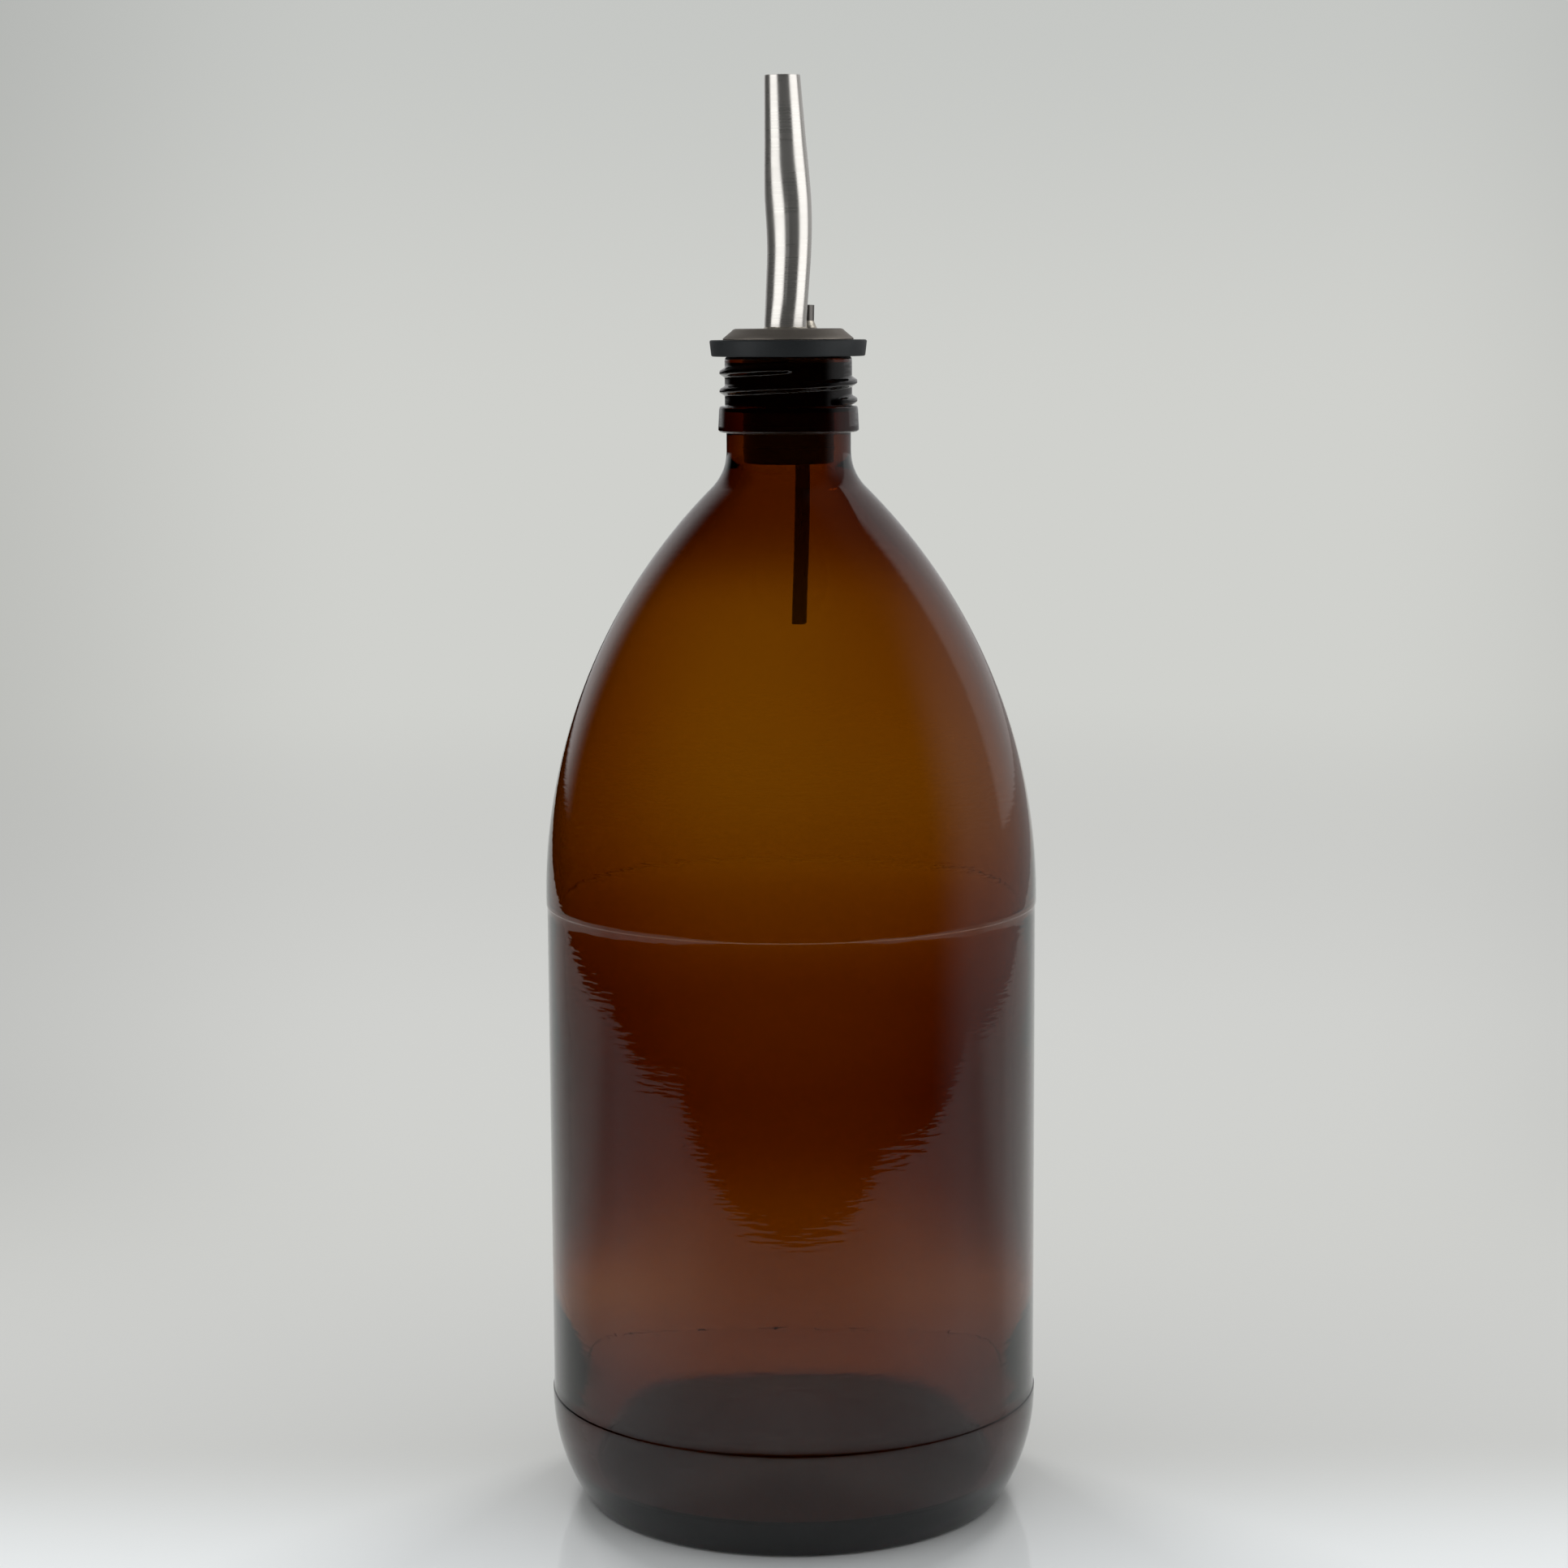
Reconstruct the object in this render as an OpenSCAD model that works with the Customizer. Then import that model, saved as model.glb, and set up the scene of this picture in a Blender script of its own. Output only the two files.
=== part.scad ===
// One-litre amber glass oil bottle with a push-in steel pourer, in millimetres.
// +Z is up, the origin is the centre of the base on the table, and -Y is the front.

/* [Glass body] */
// Height of the glass, from the table to the top of the mouth
glass_h = 230.6; // [222:0.2:245]
// Radius of the straight label panel
panel_r = 49.0; // [45:0.5:54]
// Height of the bottom edge of the label panel
panel_bottom_z = 22.4; // [20:0.2:32]
// Height of the top edge of the label panel
panel_top_z = 122.2; // [105:0.5:130]
// How far the two rings stand out beside the panel
ring_step = 0.2; // [0.1:0.05:0.6]
// Height of each ring, from the panel's edge to where the glass turns in
ring_h = 1.0; // [0.6:0.1:2]
// Slope run of the step from panel to ring
step_run = 0.3; // [0.2:0.05:0.5]
// Radius of the heel's round, from the lower ring to the base
heel_arc_r = 36.7; // [32:0.1:42]
// Rounding where the heel meets the table
base_edge_r = 1.6; // [0.8:0.1:2.5]
// Width of the flat ring that the bottle stands on
bearing_w = 2.4; // [1.5:0.1:4]
// Height of the hollow pushed up under the base
push_up_h = 3.6; // [2:0.1:5]

/* [Glass walls] */
// Wall at the label panel
panel_wall = 4.2; // [3.5:0.1:5]
// Wall at the upper ring, where the shoulder starts
shoulder_wall = 2.3; // [2:0.1:4.2]
// Height over which the panel's wall thins towards the shoulder
wall_taper_h = 30; // [15:1:50]
// Thickness of the glass at the outer edge of the floor
floor_t = 7.0; // [5.5:0.1:9]
// How far the floor inside rises towards its middle
floor_rise = 2.2; // [1:0.1:3.5]
// Rounding between the wall and the floor inside
floor_corner_r = 3.0; // [2:0.1:6]

/* [Neck and finish] */
// Radius of the plain neck under the bead
neck_r = 12.3; // [11.8:0.1:13]
// Length of the plain neck between the shoulder and the bead
neck_h = 3.7; // [2:0.1:8]
// Radius of the hollow round from the shoulder to the neck
neck_fillet_r = 10.2; // [7:0.1:14]
// Radius of the mouth's bore
bore_r = 9.2; // [8.8:0.05:9.8]
// Radius of the hollow round from the shoulder to the bore, inside
bore_fillet_r = 13.0; // [10:0.1:16]
// How much higher the bore starts than the plain neck
bore_rise = 0.8; // [0.2:0.1:1.6]
// Radius of the bead at its lower edge
bead_r = 13.9; // [13.6:0.05:14.6]
// Inward slope of the bead, from its lower edge to its upper one
bead_draft = 0.2; // [0.1:0.05:0.4]
// Height of the bead
bead_h = 5.1; // [4:0.1:6.5]
// Rounding of the bead's edges
bead_edge_r = 0.5; // [0.2:0.1:1]
// Radius of the mouth's wall between the thread's turns
finish_r = 12.56; // [12.2:0.02:12.9]
// Height of the threaded part, from the bead to the top
finish_h = 9.7; // [9.4:0.1:12]
// Rounding of the mouth's top edges
lip_edge_r = 0.7; // [0.3:0.1:1.2]

/* [Thread] */
// Radius over the thread's crest
thread_crest_r = 13.6; // [13.2:0.05:13.85]
// Rise of the thread in one turn
thread_pitch = 3.6; // [3:0.05:4]
// Width of the thread where it leaves the wall
thread_w = 2.0; // [1.4:0.1:2.4]
// How far the thread's upper start lies below the top of the mouth
thread_start_drop = 2.2; // [1.8:0.1:3]
// Number of turns
thread_turns = 1.9; // [1.25:0.05:2]
// Direction of the thread's upper start, seen from above
thread_start_angle = -84; // [-180:1:180]

/* [Stopper] */
// Radius of the stopper's flange at its bottom edge
flange_r = 15.2; // [14.4:0.1:18]
// How much wider the flange is at its top edge
flange_flare = 0.3; // [0:0.05:0.8]
// Thickness of the flange
flange_t = 3.2; // [2.4:0.1:5]
// Length of the plug below the flange
plug_l = 21.3; // [19:0.1:26]
// Radius of the plug between its fins
plug_core_r = 8.25; // [8.05:0.05:8.6]
// Number of sealing fins
fin_count = 4; // [2:1:5]
// Distance from fin to fin
fin_pitch = 4.2; // [3:0.1:4.3]
// Distance from the plug's lower end to the lowest fin
fin_first = 3.6; // [2.5:0.1:5]
// Thickness of a fin at the plug
fin_t = 1.3; // [0.8:0.1:1.8]
// Thickness of a fin at its edge
fin_edge_t = 0.5; // [0.3:0.05:0.8]
// Gap between the fins and the bore
fin_clearance = 0.05; // [0.02:0.01:0.1]

/* [Pourer] */
// Outer radius of the steel sleeve in the plug
sleeve_r = 7.05; // [6.85:0.05:7.3]
// Wall of the steel sleeve
sleeve_wall = 0.45; // [0.3:0.05:0.5]
// Gap between the sleeve and the stopper
sleeve_clearance = 0.05; // [0.02:0.01:0.1]
// Radius of the collar disc at its lower edge
disc_r = 12.9; // [12:0.1:14.2]
// Radius of the collar disc at its flat top
disc_top_r = 11.1; // [10:0.1:11.6]
// Height of the collar disc
disc_h = 2.2; // [1.6:0.1:4]
// Thickness of the collar disc's sheet
disc_sheet = 0.6; // [0.4:0.05:0.8]
// Gap around each tube where it passes through the disc
tube_clearance = 0.05; // [0.02:0.01:0.1]
// Height of the braze around the feet of both tubes
braze_h = 1.5; // [0.8:0.1:2.5]
// Spread of the braze on the disc, around each tube
braze_w = 0.7; // [0.4:0.05:1]

/* [Spout tube] */
// Height of the spout above the collar disc
spout_h = 48.7; // [40:0.5:60]
// Outer radius of the spout at its foot
spout_foot_r = 3.65; // [3.3:0.05:3.7]
// Outer radius of the spout at its bend
spout_bend_r = 4.05; // [3.8:0.05:4.3]
// Outer radius of the spout at its tip
spout_tip_r = 2.95; // [2.6:0.05:3.4]
// Wall of the spout tube
spout_wall = 0.5; // [0.3:0.05:0.7]
// Height of the bend above the collar disc
spout_bend_z = 25.5; // [20:0.5:30]
// Length of tube that each bend takes
spout_bend_l = 10; // [4:0.5:14]
// Lean of the spout towards the front above its bend, in degrees
spout_lean = 11; // [0:1:25]
// How much wider than deep the tube is pressed at its bend, as a share of its radius
spout_flat = 0.03; // [0:0.01:0.06]
// Place of the spout's foot, left to right
spout_x = -0.5; // [-0.9:0.1:-0.4]
// Place of the spout's foot, front to back
spout_y = -1.0; // [-1.6:0.1:-0.8]
// Height of the slight sideways bow above the collar disc
spout_bow_z = 15; // [10:0.5:20]
// Shift of the bow to the right of the foot
spout_bow_dx = 0.7; // [-1:0.05:1]
// Shift of the tip to the right of the foot
spout_tip_dx = -0.4; // [-1:0.05:1]

/* [Breather tube] */
// Outer radius of the breather tube
breather_r = 1.5; // [1.2:0.05:1.55]
// Wall of the breather tube
breather_wall = 0.35; // [0.2:0.05:0.5]
// Height of the breather's open stub above the collar disc
breather_stub_h = 4.6; // [3:0.1:8]
// Length of the breather tube
breather_l = 63; // [45:1:90]
// Place of the breather where it passes the disc, left to right
breather_x = 3.6; // [3.5:0.05:3.8]
// Place of the breather where it passes the disc, front to back
breather_y = 2.8; // [2.7:0.05:3.1]
// Lean of the breather's lower end to the left, in degrees
breather_lean_x = 1.5; // [0:0.1:2.5]
// Lean of the breather's lower end to the front, in degrees
breather_lean_y = 1.6; // [0:0.1:2.5]

/* [Hidden] */

$fn = 96;
arc_steps = 12;
eps = 0.01;

// Heights, from the table up
ring_r = panel_r + ring_step;
heel_top_z = panel_bottom_z - ring_h;
shoulder_z = panel_top_z + ring_h;
bead_top_z = glass_h - finish_h;
bead_bottom_z = bead_top_z - bead_h;
neck_z = bead_bottom_z - neck_h;
bore_z = neck_z + bore_rise;
flange_top_z = glass_h + flange_t;
plug_bottom_z = glass_h - plug_l;
disc_top_z = flange_top_z + disc_h;
disc_under_z = disc_top_z - disc_sheet;

// The glass is one piece. Its solid is cut level at these heights, face to face, so that each part is a
// simple ring or bowl around the hollow
base_cut_z = floor_t + floor_rise + floor_corner_r;
shoulder_cut_z = shoulder_z;
funnel_h = 26;
neck_cut_z = neck_z - funnel_h;

// Hollow radii
inner_panel_r = panel_r - panel_wall;
inner_shoulder_r = ring_r - shoulder_wall;
sleeve_hole_r = sleeve_r + sleeve_clearance;

// Heel: both of its rounds share one centre
heel_c = [ring_r - heel_arc_r, heel_top_z];
inner_heel_r = inner_panel_r - heel_c[0];

// How far the spout's foot reaches below the disc's sheet, and below the top of the disc
spout_below = 0.6;
spout_tail = disc_sheet + spout_below;
spout_sides = 24;
spout_steps = 16;

// Thread: steps in a turn, the run-out at each end in turns, and how deep its root sits in the wall
thread_steps = 24;
thread_run_out = 0.05;
thread_sink = 0.5;

// How deep a fin's root sits in the plug
fin_sink = 0.3;

// How much of the braze's width is left at its top
braze_top = 0.2;

// Points on an arc from angle a0 to a1, in degrees
function arc(c, r, a0, a1, steps = arc_steps) =
    [for (i = [0 : steps]) c + r * [cos(a0 + (a1 - a0) * i / steps), sin(a0 + (a1 - a0) * i / steps)]];

// A shoulder: an arc that leaves [r0, z0] upwards, then a hollow round that ends upright at [r1, z1]
function shoulder(r0, z0, r1, z1, fillet_r) =
    let (w = r0 - r1, h = z1 - z0)
    let (both_r = (h * h + w * w) / (2 * w))
    let (dome_r = both_r - fillet_r, turn = acos(1 - w / both_r))
    concat(
        arc([r0 - dome_r, z0], dome_r, 0, turn),
        arc([r1 + fillet_r, z1], fillet_r, 180 + turn, 180));

// A heel: a round of radius r about c, then a corner round of radius corner_r down to height z0
function heel(c, r, corner_r, z0) =
    let (dz = c[1] - z0 - corner_r)
    let (reach = sqrt(pow(r - corner_r, 2) - dz * dz), turn = -asin(dz / (r - corner_r)))
    concat(
        arc([c[0] + reach, z0 + corner_r], corner_r, -90, turn, 5),
        arc(c, r, turn, 0));

// How far out the corner round of a heel ends
function heel_foot(c, r, corner_r, z0) =
    c[0] + sqrt(pow(r - corner_r, 2) - pow(c[1] - z0 - corner_r, 2));

// A low dome from the axis at height z0 + h out to radius r at height z0
function low_dome(r, h, z0, steps = 6) =
    [for (i = [0 : steps]) [r * i / steps, z0 + h * pow(cos(90 * i / steps), 2)]];

function reversed(points) = [for (i = [len(points) - 1 : -1 : 0]) points[i]];

bearing_r = heel_foot(heel_c, heel_arc_r, base_edge_r, 0);

outer_profile = concat(
    low_dome(bearing_r - bearing_w, push_up_h, 0),
    heel(heel_c, heel_arc_r, base_edge_r, 0),
    [[ring_r, panel_bottom_z],
     [panel_r, panel_bottom_z + step_run],
     [panel_r, panel_top_z - step_run],
     [ring_r, panel_top_z]],
    shoulder(ring_r, shoulder_z, neck_r, neck_z, neck_fillet_r),
    [[neck_r, bead_bottom_z]],
    arc([bead_r - bead_edge_r, bead_bottom_z + bead_edge_r], bead_edge_r, -90, 0, 4),
    arc([bead_r - bead_draft - bead_edge_r, bead_top_z - bead_edge_r], bead_edge_r, 0, 90, 4),
    [[finish_r, bead_top_z]],
    arc([finish_r - lip_edge_r, glass_h - lip_edge_r], lip_edge_r, 0, 90, 4));

inner_profile = concat(
    low_dome(heel_foot(heel_c, inner_heel_r, floor_corner_r, floor_t), floor_rise, floor_t),
    heel(heel_c, inner_heel_r, floor_corner_r, floor_t),
    [[inner_panel_r, shoulder_z - wall_taper_h]],
    shoulder(inner_shoulder_r, shoulder_z, bore_r, bore_z, bore_fillet_r),
    arc([bore_r + lip_edge_r, glass_h - lip_edge_r], lip_edge_r, 180, 90, 4));

// The thread's centre line, t turns down from its upper start
function thread_z(t) = glass_h - thread_start_drop - thread_pitch * t;
function thread_a(t) = thread_start_angle - 360 * t;

// The thread's height above the wall at t turns: full, and run out at both ends
function thread_lift(t) = min(1, t / thread_run_out, (thread_turns - t) / thread_run_out);

// Six corners across the thread at t turns, sunk into the wall so that the two are one solid
function thread_section(t) =
    let (crest = finish_r + (thread_crest_r - finish_r) * max(0.05, thread_lift(t)))
    let (half = thread_w / 2, root = finish_r - thread_sink, waist = (finish_r + crest) / 2)
    [for (p = [[root, -half], [waist, -0.75 * half], [crest, -0.3 * half],
               [crest, 0.3 * half], [waist, 0.75 * half], [root, half]])
        [p[0] * cos(thread_a(t)), p[0] * sin(thread_a(t)), thread_z(t) + p[1]]];

// A closed skin over rings of points that all have the same number of points
module skin(rings) {
    n = len(rings[0]);
    last = len(rings) - 1;
    sides = [for (i = [0 : last - 1], j = [0 : n - 1])
        [i * n + j, (i + 1) * n + j, (i + 1) * n + (j + 1) % n, i * n + (j + 1) % n]];
    foot = [[for (j = [0 : n - 1]) j]];
    head = [[for (j = [n - 1 : -1 : 0]) last * n + j]];
    polyhedron(points = [for (ring = rings) for (p = ring) p], faces = concat(sides, foot, head));
}

// A tube wall between outer and inner rings, both listed upwards
module pipe(outer, inner) {
    n = len(outer[0]);
    last = len(outer) - 1;
    start = (last + 1) * n;
    outer_sides = [for (i = [0 : last - 1], j = [0 : n - 1])
        [i * n + j, (i + 1) * n + j, (i + 1) * n + (j + 1) % n, i * n + (j + 1) % n]];
    inner_sides = [for (f = outer_sides) [for (k = [3 : -1 : 0]) start + f[k]]];
    foot = [for (j = [0 : n - 1]) [j, (j + 1) % n, start + (j + 1) % n, start + j]];
    head = [for (f = foot) [for (k = [3 : -1 : 0]) f[k] + last * n]];
    polyhedron(
        points = [for (ring = concat(outer, inner)) for (p = ring) p],
        faces = concat(outer_sides, inner_sides, foot, head));
}

module thread() {
    steps = ceil(thread_turns * thread_steps);
    skin([for (i = [0 : steps]) thread_section(thread_turns * i / steps)]);
}

// The glass between two heights
module glass(z0, z1) intersection() {
    rotate_extrude() polygon(concat(outer_profile, reversed(inner_profile)));
    translate([0, 0, z0]) cylinder(h = z1 - z0, r = 2 * ring_r);
}

module glass_base() color([0.36, 0.16, 0.03]) glass(-1, base_cut_z);

module glass_panel() color([0.4, 0.19, 0.04]) glass(base_cut_z, shoulder_cut_z);

module glass_shoulder() color([0.36, 0.16, 0.03]) glass(shoulder_cut_z, neck_cut_z);

module glass_neck() color([0.4, 0.19, 0.04]) {
    glass(neck_cut_z, glass_h + 1);
    thread();
}

module stopper() color([0.08, 0.08, 0.09]) difference() {
    union() {
        translate([0, 0, glass_h]) cylinder(h = flange_t, r1 = flange_r, r2 = flange_r + flange_flare);
        translate([0, 0, plug_bottom_z]) cylinder(h = plug_l + eps, r = plug_core_r);
        for (i = [0 : fin_count - 1]) {
            translate([0, 0, plug_bottom_z + fin_first + i * fin_pitch]) fin();
        }
    }
    translate([0, 0, plug_bottom_z - 1]) cylinder(h = plug_l + flange_t + 2, r = sleeve_hole_r);
}

module fin() {
    edge_r = bore_r - fin_clearance;
    rotate_extrude() polygon([
        [plug_core_r - fin_sink, -fin_t / 2],
        [plug_core_r, -fin_t / 2],
        [edge_r, -fin_edge_t / 2],
        [edge_r, fin_edge_t / 2],
        [plug_core_r, fin_t / 2],
        [plug_core_r - fin_sink, fin_t / 2]]);
}

module stem_sleeve() color([0.72, 0.72, 0.72]) translate([0, 0, plug_bottom_z]) difference() {
    cylinder(h = disc_under_z - plug_bottom_z, r = sleeve_r);
    translate([0, 0, -1]) cylinder(h = disc_under_z - plug_bottom_z + 2, r = sleeve_r - sleeve_wall);
}

module collar_disc() color([0.75, 0.75, 0.74]) difference() {
    translate([0, 0, flange_top_z]) cylinder(h = disc_h, r1 = disc_r, r2 = disc_top_r);
    translate([0, 0, flange_top_z - eps])
        cylinder(h = disc_h - disc_sheet + eps, r1 = disc_r - disc_sheet, r2 = disc_top_r - disc_sheet);
    spout_hole();
    breather_rod(breather_r + tube_clearance);
}

// The spout's shape at height t above the disc. Each value starts straight through the braze, runs to
// middle at height at, then to last at the tip, and the corner between the two runs is rounded.
function rounded_ramp(t) =
    let (half = spout_bend_l / 2)
    t <= -half ? 0 : t >= half ? t : pow(t + half, 2) / (4 * half);
function run(t, at, first, middle, last) =
    let (rise = (middle - first) / (at - braze_h), fall = (last - middle) / (spout_h - at))
    first + rise * max(t - braze_h, 0) + (fall - rise) * rounded_ramp(t - at);

function spout_centre_x(t) = run(t, spout_bow_z, spout_x, spout_x + spout_bow_dx, spout_x + spout_tip_dx);
function spout_centre_y(t) =
    run(t, spout_bend_z, spout_y, spout_y, spout_y - tan(spout_lean) * (spout_h - spout_bend_z));
function spout_radius(t) = run(t, spout_bend_z, spout_foot_r, spout_bend_r, spout_tip_r);

// How much of the flattening the tube has at height t: all of it at the bend, none a bend's length away
function flattening(t) = spout_flat * max(0, 1 - abs(t - spout_bend_z) / spout_bend_l);

// A level ring around the spout at height t, this far inside its outer face
function spout_ring(t, inset) =
    let (r = spout_radius(t), flat = flattening(t))
    [for (j = [0 : spout_sides - 1])
        [spout_centre_x(t) + (r * (1 + flat) - inset) * cos(360 * j / spout_sides),
         spout_centre_y(t) + (r * (1 - flat) - inset) * sin(360 * j / spout_sides),
         disc_top_z + t]];

module spout_tube() color([0.75, 0.75, 0.74]) {
    levels = [for (i = [0 : spout_steps]) -spout_tail + (spout_h + spout_tail) * i / spout_steps];
    pipe([for (t = levels) spout_ring(t, 0)], [for (t = levels) spout_ring(t, spout_wall)]);
}

module spout_hole() {
    translate([spout_x, spout_y, disc_under_z - 1])
        cylinder(h = disc_sheet + braze_h + 2, r = spout_foot_r + tube_clearance);
}

// A rod of radius r along the breather's axis, longer than the tube by extra at each end
module breather_rod(r, extra = 0) {
    translate([breather_x, breather_y, disc_top_z])
        rotate([-breather_lean_y, breather_lean_x, 0])
            translate([0, 0, breather_stub_h - breather_l - extra])
                cylinder(h = breather_l + 2 * extra, r = r);
}

module breather_tube() color([0.72, 0.72, 0.72]) difference() {
    breather_rod(breather_r);
    breather_rod(breather_r - breather_wall, 1);
}

// A cone of braze around a tube of radius r
module braze_cone(r) {
    cylinder(h = braze_h, r1 = r + braze_w, r2 = r + braze_top * braze_w);
}

module braze() color([0.7, 0.69, 0.66]) difference() {
    union() {
        translate([spout_x, spout_y, disc_top_z]) braze_cone(spout_foot_r);
        translate([breather_x, breather_y, disc_top_z]) braze_cone(breather_r);
    }
    spout_hole();
    breather_rod(breather_r + tube_clearance);
}

glass_base();
glass_panel();
glass_shoulder();
glass_neck();
stopper();
stem_sleeve();
collar_disc();
spout_tube();
breather_tube();
braze();
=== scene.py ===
"""Amber glass oil bottle with a steel pourer, modelled around the packed frame and set in a studio."""

import math

import bpy
from bpy.props import FloatProperty, FloatVectorProperty, IntProperty, PointerProperty
from mathutils import Matrix, Vector, noise


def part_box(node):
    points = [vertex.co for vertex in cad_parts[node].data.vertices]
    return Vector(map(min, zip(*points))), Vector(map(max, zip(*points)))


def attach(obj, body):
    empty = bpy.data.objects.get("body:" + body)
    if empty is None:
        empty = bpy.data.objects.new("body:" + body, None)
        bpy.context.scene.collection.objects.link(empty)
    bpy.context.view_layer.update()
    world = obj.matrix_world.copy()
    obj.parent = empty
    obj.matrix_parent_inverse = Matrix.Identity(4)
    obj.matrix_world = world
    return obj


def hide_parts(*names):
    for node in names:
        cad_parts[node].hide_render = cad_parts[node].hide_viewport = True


bl_info = {
    "name": "Amber Oil Bottle",
    "version": (1, 0, 0),
    "blender": (4, 5, 0),
    "location": "3D View > Sidebar > Oil Bottle",
    "description": "Models an amber glass oil bottle with its steel pourer, and a plain studio around it",
    "category": "Add Mesh",
}

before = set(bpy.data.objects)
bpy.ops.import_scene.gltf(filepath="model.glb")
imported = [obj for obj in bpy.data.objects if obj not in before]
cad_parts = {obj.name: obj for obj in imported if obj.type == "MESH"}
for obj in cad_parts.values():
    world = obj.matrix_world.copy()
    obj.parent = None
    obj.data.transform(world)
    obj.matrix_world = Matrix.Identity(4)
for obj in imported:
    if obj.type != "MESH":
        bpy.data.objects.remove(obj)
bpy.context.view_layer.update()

MM = 0.001
MERGE = 0.001 * MM
GLASS_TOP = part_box("glass_neck")[1][2]
BODY_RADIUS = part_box("glass_panel")[1][0]
GLASS_NODES = ("glass_base", "glass_panel", "glass_shoulder", "glass_neck")
FLANGE_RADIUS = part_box("stopper")[1][0]
DISC_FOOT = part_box("collar_disc")[0][2]
DISC_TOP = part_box("collar_disc")[1][2]
SPOUT_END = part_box("spout_tube")[1][2]
PLUG_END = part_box("stopper")[0][2]


# ---------------------------------------------------------------- settings

def length(name, description, default):
    """A size in metres that a user can change."""
    return FloatProperty(name=name, description=description, default=default, unit="LENGTH", precision=5)


def share(name, description, default):
    """A share from 0 to 1 that a user can change."""
    return FloatProperty(
        name=name, description=description, default=default, min=0, max=1, subtype="FACTOR")


def linear(hex_text):
    """An sRGB hex colour as the linear values that sockets take, by the sRGB standard's own numbers."""
    values = [int(hex_text[i:i + 2], 16) / 255 for i in (0, 2, 4)]
    return [v / 12.92 if v <= 0.04045 else ((v + 0.055) / 1.055) ** 2.4 for v in values]


def radians(*degrees):
    """Angles in degrees as radians."""
    return tuple(math.radians(d) for d in degrees)


def colour(name, description, hex_text):
    """A colour that a user can change."""
    return FloatVectorProperty(
        name=name, description=description, default=linear(hex_text), subtype="COLOR", size=3, min=0, max=1)


class BottleGlass(bpy.types.PropertyGroup):
    """Sizes and tint of the glass."""
    height: length("Height", "Height of the glass", GLASS_TOP)
    ring_radius: length("Ring radius", "Radius over the two rings beside the panel", BODY_RADIUS)
    ring_step: length("Ring step", "How far the rings stand out beside the panel", 0.2 * MM)
    ring_height: length("Ring height", "Height of each ring", 1.0 * MM)
    step_run: length("Step run", "Slope from panel to ring", 0.3 * MM)
    panel_foot: length("Panel foot", "Height of the panel's lower edge", 22.4 * MM)
    panel_top: length("Panel top", "Height of the panel's upper edge", 122.2 * MM)
    heel_radius: length("Heel radius", "Radius of the round under the lower ring", 36.7 * MM)
    base_edge: length("Base edge", "Rounding where the heel meets the table", 1.6 * MM)
    bearing: length("Bearing ring", "Width of the ring that the bottle stands on", 2.4 * MM)
    push_up: length("Push-up", "Hollow under the base", 3.6 * MM)
    wall: length("Wall", "Wall at the panel", 4.2 * MM)
    shoulder_wall: length("Shoulder wall", "Wall at the upper ring", 2.3 * MM)
    taper: length("Wall taper", "Height over which the wall thins", 30 * MM)
    floor: length("Floor", "Thickness of the glass at the edge of the floor", 7.0 * MM)
    floor_rise: length("Floor rise", "How far the floor rises to its middle", 2.2 * MM)
    floor_corner: length("Floor corner", "Rounding between wall and floor inside", 3.0 * MM)
    neck_radius: length("Neck radius", "Radius of the plain neck", 12.3 * MM)
    neck_foot: length("Neck foot", "Height where the shoulder ends in the neck", 212.1 * MM)
    neck_fillet: length("Neck fillet", "Hollow round from shoulder to neck", 10.2 * MM)
    bore: length("Bore", "Radius of the mouth's bore", 9.2 * MM)
    bore_foot: length("Bore foot", "Height where the bore starts", 212.9 * MM)
    bore_fillet: length("Bore fillet", "Hollow round from the shoulder to the bore", 13.0 * MM)
    bead_foot: length("Bead foot", "Height of the bead's lower edge", 215.8 * MM)
    bead_top: length("Bead top", "Height of the bead's upper edge", 220.9 * MM)
    bead_radius: length("Bead radius", "Radius of the bead at its foot", 13.9 * MM)
    bead_draft: length("Bead draft", "How much narrower the bead is at its top", 0.2 * MM)
    bead_edge: length("Bead edge", "Rounding of the bead's edges", 0.5 * MM)
    finish_radius: length("Finish radius", "Radius of the wall between the thread's turns", 12.56 * MM)
    lip: length("Lip", "Rounding of the mouth's edges", 0.7 * MM)
    thread_radius: length("Thread radius", "Radius over the thread", 13.6 * MM)
    thread_pitch: length("Thread pitch", "Rise of the thread in one turn", 3.6 * MM)
    thread_width: length("Thread width", "Width of the thread at its root", 2.0 * MM)
    thread_drop: length("Thread drop", "Depth of the thread's start below the mouth", 2.2 * MM)
    thread_turns: FloatProperty(name="Thread turns", description="Number of turns", default=1.9)
    thread_start: FloatProperty(
        name="Thread start", description="Direction of the thread's start", default=math.radians(-84),
        subtype="ANGLE")
    segments: IntProperty(name="Segments", description="Steps around the glass", default=192, min=48)
    tint: colour("Tint", "Colour that the glass lets through", "E7D000")
    depth: FloatProperty(name="Tint depth", description="Strength of the tint per metre", default=1500)


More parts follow.
